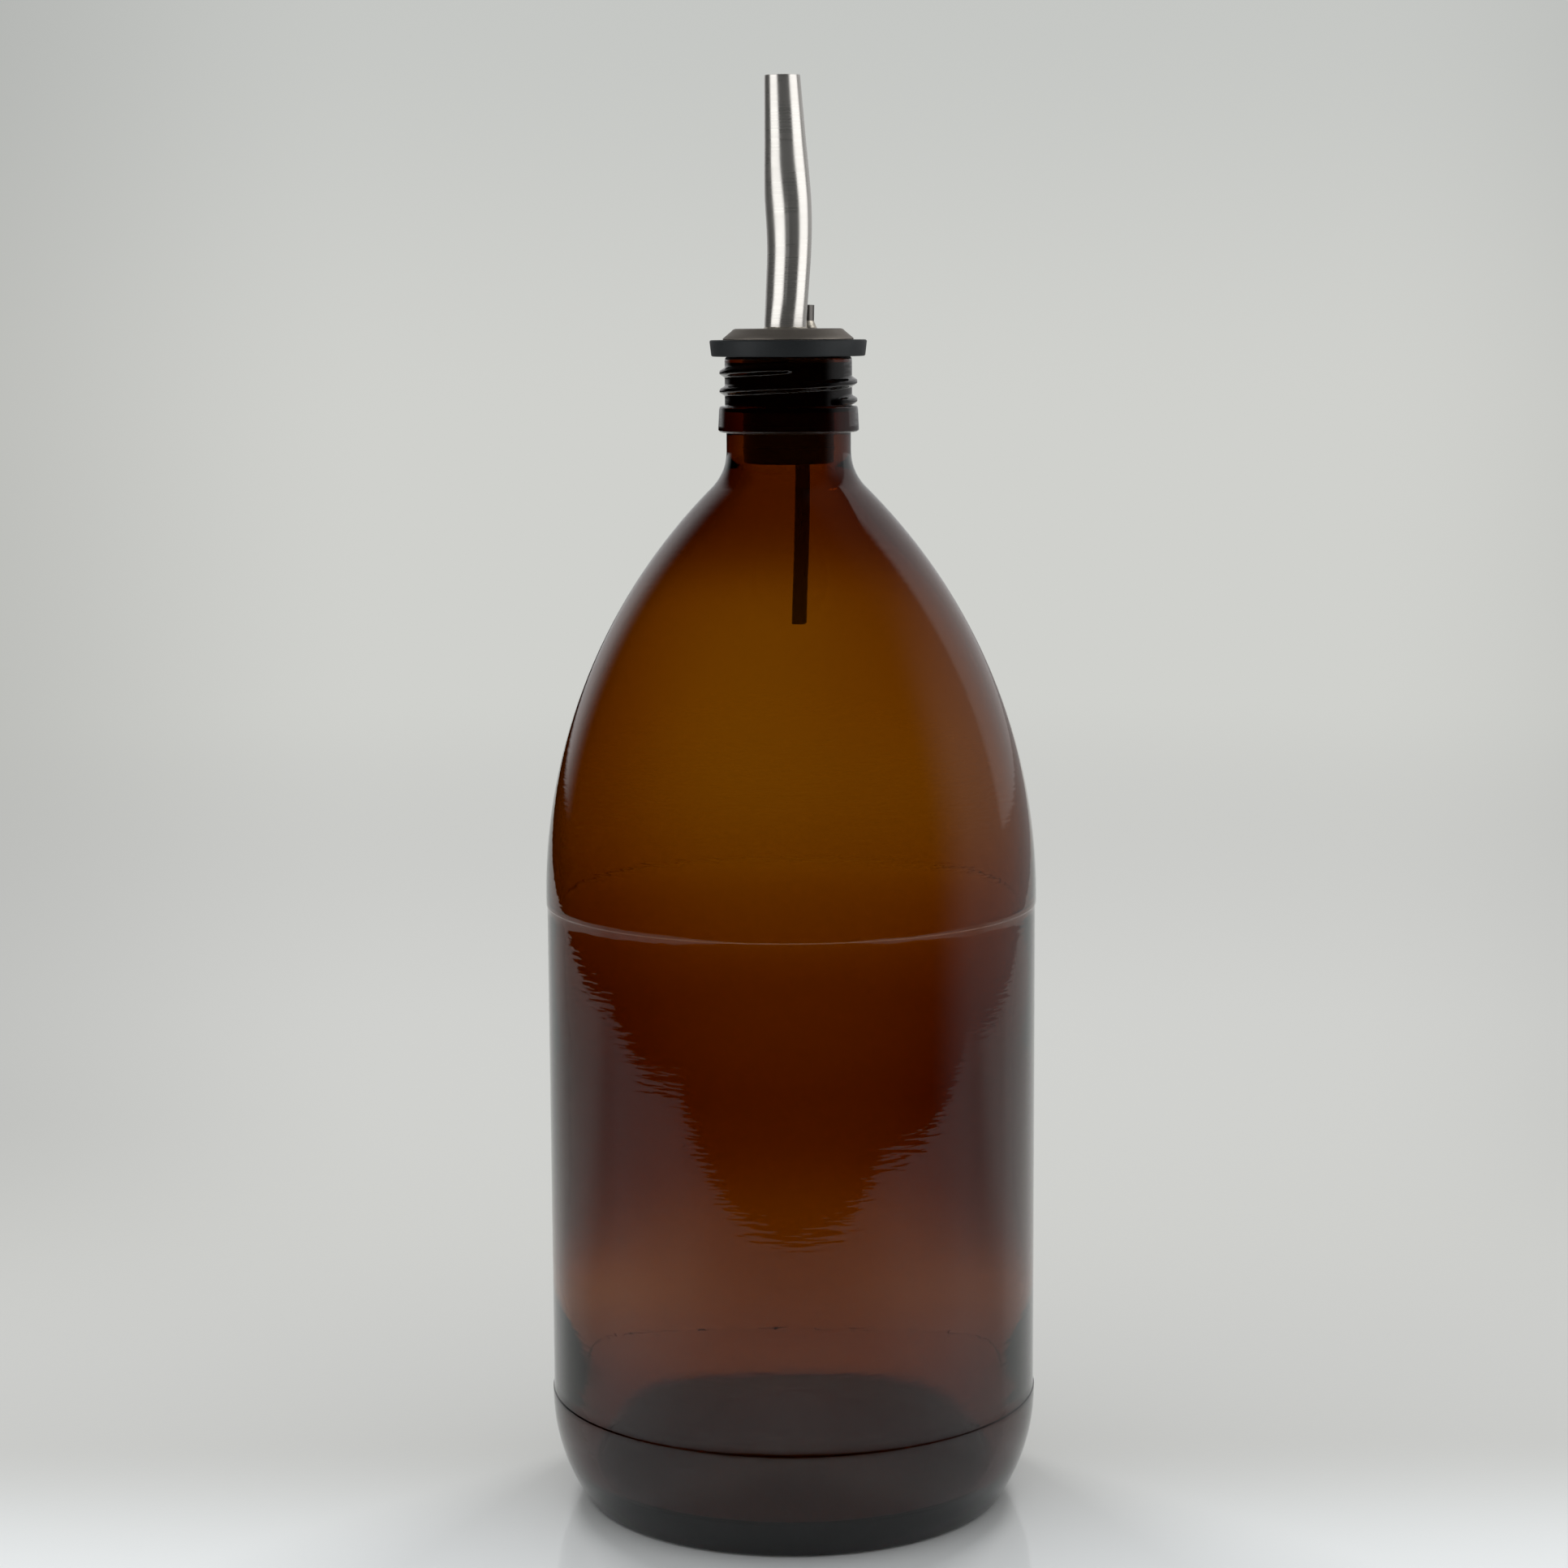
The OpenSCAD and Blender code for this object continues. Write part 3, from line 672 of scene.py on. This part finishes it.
# The press that makes the spout oval grows over this height above the disc, fades below an end height,
# and has this phase around the spout, in radians.
PRESS_RISE = 6 * MM
PRESS_END, PRESS_FADE = 32 * MM, 8 * MM
PRESS_TURN = 0.3

# The crease's direction from the front, to the right, and half its width.
CREASE_WAY, CREASE_WIDTH = math.radians(5.6), math.radians(5.5)

# How far the tubes' cut edges are broken, and the angle from which an edge counts as cut.
SPOUT_EDGE, AIR_EDGE = 0.08 * MM, 0.06 * MM
SHARP = math.radians(60)

# The air tube's slight lean: its lower end hangs a little to the left and to the front.
LEAN_SIDE, LEAN_FRONT = math.radians(1.5), math.radians(-1.6)

# The braze's gap to the tube and the disc, and how hollow its flare is: 1 is straight.
BRAZE_GAP = 0.02 * MM
FLARE = 1.3
FLARE_STEPS = 10


def bent(t, at, half, first, middle, last, start, end):
    """A value at height t: first until start, middle at height at, last at end, with a rounded corner."""
    rise = (middle - first) / (at - start)
    fall = (last - middle) / (end - at)
    past = t - at
    corner = 0 if past <= -half else past if past >= half else (past + half) ** 2 / (4 * half)
    return first + rise * max(t - start, 0) + (fall - rise) * corner


def spout_ring(p, t):
    """Centre and radii of the spout at height t above the disc."""
    end = SPOUT_END - DISC_TOP
    half, start = p.bend_length / 2, p.braze_height
    x = bent(t, p.bow_height, half, p.spout_x, p.spout_x + p.bow, p.spout_x + p.tip_shift, start, end)
    lean = math.tan(p.lean) * (end - p.bend_height)
    y = bent(t, p.bend_height, half, p.spout_y, p.spout_y, p.spout_y - lean, start, end)
    radius = bent(t, p.bend_height, half, p.spout_foot, p.spout_bend, p.spout_tip, start, end)
    flat = p.flat * max(0, 1 - abs(t - p.bend_height) / p.bend_length)
    return (x, y, DISC_TOP + t), radius * (1 + flat), radius * (1 - flat)


class OILBOTTLE_OT_spout(bpy.types.Operator):
    """Draw the tapered spout from tube, bend it and press it slightly flat at the bend"""
    bl_idname = "oilbottle.spout"
    bl_label = "Spout"

    def execute(self, context):
        p = context.scene.bottle_pourer
        end, count = SPOUT_END - DISC_TOP - TIP_ROOM, 80
        levels = [-p.spout_tail + (end + p.spout_tail) * i / count for i in range(count + 1)]
        piece = tube("pouring_spout", [spout_ring(p, t) for t in levels], sides=64)
        for vertex in piece.data.vertices:
            t = vertex.co.z - DISC_TOP
            (x, y, _), wide, _ = spout_ring(p, t)
            angle = math.atan2(vertex.co.x - x, y - vertex.co.y)
            pressed = min(1, max(0, t / PRESS_RISE), max(0, (PRESS_END - t) / PRESS_FADE))
            ridge = max(0, 1 - abs(angle - CREASE_WAY) / CREASE_WIDTH)
            grow = p.press * math.sin(2 * angle + PRESS_TURN) + p.crease / wide * ridge
            vertex.co.x = x + (vertex.co.x - x) * (1 + grow * pressed)
            vertex.co.y = y + (vertex.co.y - y) * (1 + grow * pressed)
        thicken(piece, p.spout_wall, SPOUT_EDGE)
        clean(piece)
        smooth(piece, angle=40)
        metal = polished_steel("belt-polished stainless steel", p.steel, 0.3, 0.8, (60, 60, 6500))
        finish_piece(piece, "pourer", metal, "stainless_steel", "spout_tube")
        return {"FINISHED"}


class OILBOTTLE_OT_air_tube(bpy.types.Operator):
    """Cut the thin air tube, break its edges and set it at its slight lean"""
    bl_idname = "oilbottle.air_tube"
    bl_label = "Air tube"

    def execute(self, context):
        p = context.scene.bottle_pourer
        foot, count = DISC_TOP + p.air_stub - p.air_length, 24
        levels = [foot + p.air_length * i / count for i in range(count + 1)]
        rings = [((p.air_x, p.air_y, z), p.air_radius, p.air_radius) for z in levels]
        piece = tube("air_tube", rings, sides=40)
        thicken(piece, p.air_wall, AIR_EDGE)
        pivot = Vector((p.air_x, p.air_y, DISC_TOP))
        lean = Matrix.Rotation(LEAN_SIDE, 4, "Y") @ Matrix.Rotation(LEAN_FRONT, 4, "X")
        piece.data.transform(Matrix.Translation(pivot) @ lean @ Matrix.Translation(-pivot))
        clean(piece)
        smooth(piece, angle=40)
        metal = polished_steel("drawn stainless steel", p.air_steel, 0.3, 0.3, (400, 400, 60))
        finish_piece(piece, "pourer", metal, "stainless_steel", "breather_tube")
        return {"FINISHED"}


class OILBOTTLE_OT_braze(bpy.types.Operator):
    """Flow the braze around the feet of the spout and the air tube, as one hollow fillet each"""
    bl_idname = "oilbottle.braze"
    bl_label = "Braze"

    def execute(self, context):
        p = context.scene.bottle_pourer
        wide, tall = p.braze_width - BRAZE_GAP, p.braze_height - BRAZE_GAP
        foot = DISC_TOP + BRAZE_GAP
        shares = [i / FLARE_STEPS for i in range(1, FLARE_STEPS + 1)]
        tubes = (
            ("braze_fillet", p.spout_x, p.spout_y, p.spout_foot),
            ("foot", p.air_x, p.air_y, p.air_radius))
        feet = []
        for name, x, y, radius in tubes:
            inner = radius + BRAZE_GAP
            line = [(inner, DISC_TOP + p.braze_height)]
            line += [(inner + wide * t, foot + tall * (1 - t) ** FLARE) for t in shares]
            line += [(inner, foot), line[0]]
            feet.append(turned(name, line, segments=64, at=(x, y)))
        carve(feet[0], feet[1], "UNION")
        smooth(feet[0], angle=50)
        finish_piece(feet[0], "pourer", smoothed_braze(p), "braze_metal", "braze")
        return {"FINISHED"}


class OILBOTTLE_OT_sleeve(bpy.types.Operator):
    """Give the sleeve inside the plug its drawn steel finish"""
    bl_idname = "oilbottle.sleeve"
    bl_label = "Sleeve finish"

    def execute(self, context):
        steel = context.scene.bottle_pourer.steel
        metal = polished_steel("plain drawn steel", steel, 0.35, 0.2, (300, 300, 60))
        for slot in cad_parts["stem_sleeve"].material_slots:
            slot.material = metal
        return {"FINISHED"}


# ---------------------------------------------------------------- studio

# The backdrop for the camera and through the glass: its two tones blend over the horizon, and it falls off
# to this share on both sides of a direction just right of straight behind the bottle.
HORIZON = radians(-2, 6)
POOL_WAY = math.radians(1.5)
POOL_FALL = (*radians(8, 17), 1.0, 0.78)

# What mirrors see: the backdrop behind the table, with its level, and a dim card on the right that is
# brighter low down. Directions go around from the front, positive to the right, and heights up from level.
BEHIND_RIGHT, BEHIND_LEFT = radians(112, 122), radians(-128, -152)
BEHIND_HEIGHT = radians(-1, 47, 1)
BEHIND_LEVEL = 0.55
CARD_WAY = radians(66, 96)
CARD_HEIGHT = (*radians(46, 12), 0.03, 0.3)

# What brushed steel gathers as well: two strip lights, each from where to where and how soft its edges
# are, up to a height, and the dim room around them.
STRIP_LEFT, STRIP_RIGHT = radians(-88, -36, 5), radians(46, 106, 6)
STRIP_HEIGHT = radians(50, 34)
ROOM_LEVEL = 0.08

# Where the table's colours change, in metres behind the bottle's axis: its paler front is painted light
# that lifts it where the bottle's shadow falls. Its painted pool of light falls off to both sides from a
# point this far in front, and it fades into the backdrop this far away.
PAINTED_FRONT_LIGHT_EDGES, BACK_TONE, POOL_START = (0.03, -0.06), (0.06, 0.22), (0.08, 0.35)
POOL_DEPTH = 0.67
FADE_AWAY = (0.45, 1.5)

# The table that mirrors see, in metres: how far out its front and sides are, where each side starts to
# close in towards the front, and how fast.
TABLE_FRONT, TABLE_LEFT, TABLE_RIGHT = 0.28, 0.56, 0.543
LEFT_CORNER, RIGHT_CORNER = 0.0, -0.03
LEFT_SLANT, RIGHT_SLANT = 0.75, 1.1
TABLE_EDGE = (0.003, -0.003)

# How far mirrors see it dimmed: away from the bottle on its front half, and towards its front edge.
DIM_AWAY, DIM_HALF = (0.15, 0.34, 0.0, 0.42), (0.1, -0.02)
DIM_FRONT = (-0.08, -0.29, 0.0, 0.55)

# The table's disc lies a hair under the bottle's base, so that the two faces don't meet.
TABLE_RADIUS = 6
TABLE_DROP = 0.05 * MM
LAMPS = (("lamp_left", (-0.34, 0.60, 1.05)), ("lamp_right", (0.36, 0.58, 1.05)))
LAMP_SIZE = (0.26, 0.18)
LAMP_AIM = Vector((0, 0, 0.2))
CAMERA_PLACE = (-0.00131, -0.6748, 0.2381)
CAMERA_TILT, CAMERA_ROLL = math.radians(90 - 7.81), math.radians(-0.32)
CAMERA_LENS, CAMERA_SENSOR = 78.04, 36


def mirrored(tree):
    """1 for a ray that a surface mirrors, 0 for one that looks through glass."""
    path = add_node(tree, "LightPath")
    glossy, through = path["Is Glossy Ray"], path["Is Transmission Ray"]
    only = add_node(tree, "Math", glossy, through, operation="SUBTRACT")[0]
    return add_node(tree, "Math", only, 0.5, operation="GREATER_THAN")[0]


def band(tree, value, start, end, edge):
    """1 from start to end, with soft edges, and 0 outside."""
    above = add_node(tree, "MapRange", value, start - edge, start + edge, **SOFT)[0]
    below = add_node(tree, "MapRange", value, end + edge, end - edge, **SOFT)[0]
    return add_node(tree, "Math", above, below, operation="MINIMUM")[0]


def light_pool(tree, x, y, tone):
    """A tone that falls off to both sides of the direction straight behind the bottle."""
    way = add_node(tree, "Math", x, y, operation="ARCTAN2")[0]
    side = add_node(tree, "Math", way, POOL_WAY, operation="SUBTRACT")[0]
    side = add_node(tree, "Math", side, operation="ABSOLUTE")[0]
    level = add_node(tree, "MapRange", side, *POOL_FALL, **SOFT)[0]
    return add_node(tree, "VectorMath", tone, inputs={"Scale": level}, operation="SCALE")[0]


def change(tree, value, edges, first, second):
    """A colour that changes softly from first to second while value goes from edge to edge."""
    gone = add_node(tree, "MapRange", value, *edges, **SOFT)[0]
    return add_node(tree, "Mix", gone, inputs={FIRST: first, SECOND: second}, **COLOURS)[MIXED]


def table_side(tree, at, corner, slant, edge, operation):
    """How far inside a slanting side edge of the table a place is."""
    ahead = add_node(tree, "Math", at["Y"], corner, operation="MINIMUM")[0]
    side = add_node(tree, "Math", ahead, slant, edge, operation="MULTIPLY_ADD")[0]
    return add_node(tree, "Math", side, at["X"], operation=operation)[0]


def studio_world(s):
    """A pale backdrop all round, for the camera and through the glass, over an even soft light. What is
    polished meets a dark room with the backdrop behind the table and a dim white card on the right;
    brushed steel gathers two tall strip lights as well."""
    world = bpy.data.worlds.new("studio")
    world.use_nodes = True
    bpy.context.scene.world = world
    tree = world.node_tree
    tree.nodes.clear()
    way = add_node(tree, "SeparateXYZ", add_node(tree, "TexCoord")["Generated"])
    lift = add_node(tree, "Math", way["Z"], operation="ARCSINE")[0]
    ahead = add_node(tree, "Math", way["Y"], -1.0, operation="MULTIPLY")[0]
    around = add_node(tree, "Math", way["X"], ahead, operation="ARCTAN2")[0]

    seen = change(tree, lift, HORIZON, (*s.backdrop, 1), (*s.sky, 1))
    seen = light_pool(tree, way["X"], way["Y"], seen)

    right = add_node(tree, "MapRange", around, *BEHIND_RIGHT, **SOFT)[0]
    left = add_node(tree, "MapRange", around, *BEHIND_LEFT, **SOFT)[0]
    behind = add_node(tree, "Math", right, left, operation="MAXIMUM")[0]
    low = band(tree, lift, *BEHIND_HEIGHT)
    behind = add_node(tree, "Math", behind, low, operation="MULTIPLY")[0]
    behind = add_node(tree, "Math", behind, BEHIND_LEVEL, operation="MULTIPLY")[0]
    side = add_node(tree, "MapRange", around, *CARD_WAY, **SOFT)[0]
    level = add_node(tree, "MapRange", lift, *CARD_HEIGHT, **SOFT)[0]
    card = add_node(tree, "Math", side, level, operation="MULTIPLY")[0]
    gloss = add_node(tree, "Math", behind, card, operation="MAXIMUM")[0]

    left = band(tree, around, *STRIP_LEFT)
    right = band(tree, around, *STRIP_RIGHT)
    strips = add_node(tree, "Math", left, right, operation="MAXIMUM")[0]
    level = add_node(tree, "MapRange", lift, *STRIP_HEIGHT, **SOFT)[0]
    strips = add_node(tree, "Math", strips, level, operation="MULTIPLY")[0]
    strips = add_node(tree, "Math", strips, s.strip_strength, ROOM_LEVEL, operation="MULTIPLY_ADD")[0]
    smooth_ray = add_node(tree, "LightPath")["Is Singular Ray"]
    rough_ray = add_node(tree, "Math", 1.0, smooth_ray, operation="SUBTRACT")[0]
    brushed = add_node(tree, "Math", mirrored(tree), rough_ray, operation="MULTIPLY")[0]
    strips = add_node(tree, "Math", strips, brushed, operation="MULTIPLY")[0]
    gloss = add_node(tree, "Math", gloss, strips, operation="MAXIMUM")[0]

    path = add_node(tree, "LightPath")
    direct, through = path["Is Camera Ray"], path["Is Transmission Ray"]
    looks = add_node(tree, "Math", direct, through, operation="MAXIMUM")[0]
    plain = add_node(
        tree, "Mix", looks, inputs={FIRST: (s.fill, s.fill, s.fill, 1), SECOND: seen}, **COLOURS)[MIXED]
    tone = add_node(tree, "Mix", mirrored(tree), inputs={FIRST: plain, SECOND: gloss}, **COLOURS)[MIXED]
    light = add_node(tree, "Background", tone, 1.0)
    add_node(tree, "OutputWorld", light[0])


def laminate_table(s):
    """A glossy white laminate table with a grain of 1 mm: smooth enough to mirror the foot of the bottle at
    a low angle. Its paler front is painted light where the bottle's shadow falls, and behind the bottle it
    falls off to both sides in a painted pool of light. It fades into the backdrop with distance. Mirrors
    see it end in front and at its slanting sides, and dimmer there."""
    material, tree, place = new_material("white laminate")
    at = add_node(tree, "SeparateXYZ", place)
    away = add_node(tree, "VectorMath", place, operation="LENGTH")["Value"]

    tone = change(tree, at["Y"], BACK_TONE, (*s.floor_behind, 1), (*s.floor, 1))
    # Painted light: the table turns paler in front, where the bottle's shadow falls.
    tone = change(tree, at["Y"], PAINTED_FRONT_LIGHT_EDGES, tone, (*s.floor_front_painted_light, 1))
    depth = add_node(tree, "Math", at["Y"], POOL_DEPTH, operation="ADD")[0]
    tone = change(tree, at["Y"], POOL_START, tone, light_pool(tree, at["X"], depth, tone))
    grain = add_node(tree, "TexNoise", place, inputs={"Scale": 900.0, "Detail": 2.0})[0]
    skin = add_node(tree, "Bump", inputs={"Height": grain, "Distance": 0.00001})[0]
    shader = add_node(tree, "BsdfPrincipled", inputs={
        "Base Color": tone, "Roughness": 0.0, "Specular IOR Level": 0.5, "Normal": skin})[0]

    far = add_node(tree, "Emission", light_pool(tree, at["X"], depth, tuple(s.backdrop)), 1.0)[0]
    fade = add_node(tree, "MapRange", away, *FADE_AWAY, **SOFT)[0]
    lit = add_node(tree, "MixShader", fade, shader, far)[0]

    sides = add_node(tree, "MapRange", away, *DIM_AWAY, **SOFT)[0]
    half = add_node(tree, "MapRange", at["Y"], *DIM_HALF, **SOFT)[0]
    sides = add_node(tree, "Math", sides, half, operation="MULTIPLY")[0]
    front = add_node(tree, "MapRange", at["Y"], *DIM_FRONT, **SOFT)[0]
    dim = add_node(tree, "Math", sides, front, operation="MAXIMUM")[0]
    dim = add_node(tree, "Math", dim, mirrored(tree), operation="MULTIPLY")[0]
    dark = add_node(tree, "Emission", inputs={"Strength": 0.0})[0]
    dimmed = add_node(tree, "MixShader", dim, lit, dark)[0]

    left = table_side(tree, at, LEFT_CORNER, LEFT_SLANT, TABLE_LEFT, "ADD")
    right = table_side(tree, at, RIGHT_CORNER, RIGHT_SLANT, TABLE_RIGHT, "SUBTRACT")
    inside = add_node(tree, "Math", left, right, operation="MINIMUM")[0]
    front = add_node(tree, "Math", at["Y"], TABLE_FRONT, operation="ADD")[0]
    inside = add_node(tree, "Math", front, inside, operation="MINIMUM")[0]
    off = add_node(tree, "MapRange", inside, *TABLE_EDGE, **SOFT)[0]
    off = add_node(tree, "Math", off, mirrored(tree), operation="MULTIPLY")[0]
    beyond = add_node(tree, "BsdfTransparent")[0]
    top = add_node(tree, "MixShader", off, dimmed, beyond)[0]
    add_node(tree, "OutputMaterial", top)
    return material


class OILBOTTLE_OT_studio(bpy.types.Operator):
    """Set the table, the backdrop, two lamps above and behind that reflections don't see, and the camera"""
    bl_idname = "oilbottle.studio"
    bl_label = "Studio"

    def execute(self, context):
        s = context.scene.bottle_studio
        deselect()
        bpy.ops.mesh.primitive_circle_add(
            vertices=96, radius=TABLE_RADIUS, fill_type="NGON", location=(0, 0, -TABLE_DROP))
        floor = name_piece("floor")
        floor.data.materials.append(laminate_table(s))
        studio_world(s)
        for name, place in LAMPS:
            bpy.ops.object.light_add(type="AREA", location=place)
            lamp = bpy.context.object
            lamp.name = lamp.data.name = name
            lamp.visible_glossy = False
            lamp.data.shape = "RECTANGLE"
            lamp.data.size, lamp.data.size_y = LAMP_SIZE
            lamp.data.energy = s.lamp_power
            aim = LAMP_AIM - lamp.location
            lamp.rotation_euler = aim.to_track_quat("-Z", "Y").to_euler()
        turn = Matrix.Rotation(CAMERA_TILT, 4, "X") @ Matrix.Rotation(CAMERA_ROLL, 4, "Z")
        bpy.ops.object.camera_add(location=CAMERA_PLACE, rotation=turn.to_euler())
        camera = bpy.context.object
        camera.name = "camera"
        camera.data.lens = CAMERA_LENS
        camera.data.sensor_width = CAMERA_SENSOR
        context.scene.camera = camera
        context.scene.view_settings.view_transform = "Standard"
        return {"FINISHED"}


# ---------------------------------------------------------------- add-on

OPERATORS = (
    OILBOTTLE_OT_glass, OILBOTTLE_OT_stopper, OILBOTTLE_OT_sleeve, OILBOTTLE_OT_disc, OILBOTTLE_OT_spout,
    OILBOTTLE_OT_air_tube, OILBOTTLE_OT_braze, OILBOTTLE_OT_studio)
GROUPS = {"bottle_glass": BottleGlass, "bottle_pourer": BottlePourer, "bottle_studio": BottleStudio}


class OILBOTTLE_PT_panel(bpy.types.Panel):
    """The bottle's pieces, in the order in which they are made"""
    bl_idname = "OILBOTTLE_PT_panel"
    bl_label = "Oil Bottle"
    bl_space_type = "VIEW_3D"
    bl_region_type = "UI"
    bl_category = "Oil Bottle"

    def draw(self, context):
        for operator in OPERATORS:
            self.layout.operator(operator.bl_idname)
        for name, group in GROUPS.items():
            box = self.layout.box()
            box.label(text=group.__doc__)
            for key in group.__annotations__:
                box.prop(getattr(context.scene, name), key)


def register():
    """Adds the settings, the operators and the panel to Blender."""
    for group in (*GROUPS.values(), *OPERATORS, OILBOTTLE_PT_panel):
        bpy.utils.register_class(group)
    for name, group in GROUPS.items():
        setattr(bpy.types.Scene, name, PointerProperty(type=group))


def unregister():
    """Takes them out again."""
    for name in GROUPS:
        delattr(bpy.types.Scene, name)
    for group in (OILBOTTLE_PT_panel, *OPERATORS, *GROUPS.values()):
        bpy.utils.unregister_class(group)


def main():
    """Makes every piece and the studio."""
    register()
    bpy.ops.oilbottle.glass()
    bpy.ops.oilbottle.stopper()
    bpy.ops.oilbottle.sleeve()
    bpy.ops.oilbottle.disc()
    bpy.ops.oilbottle.spout()
    bpy.ops.oilbottle.air_tube()
    bpy.ops.oilbottle.braze()
    bpy.ops.oilbottle.studio()


if __name__ == "__main__":
    main()
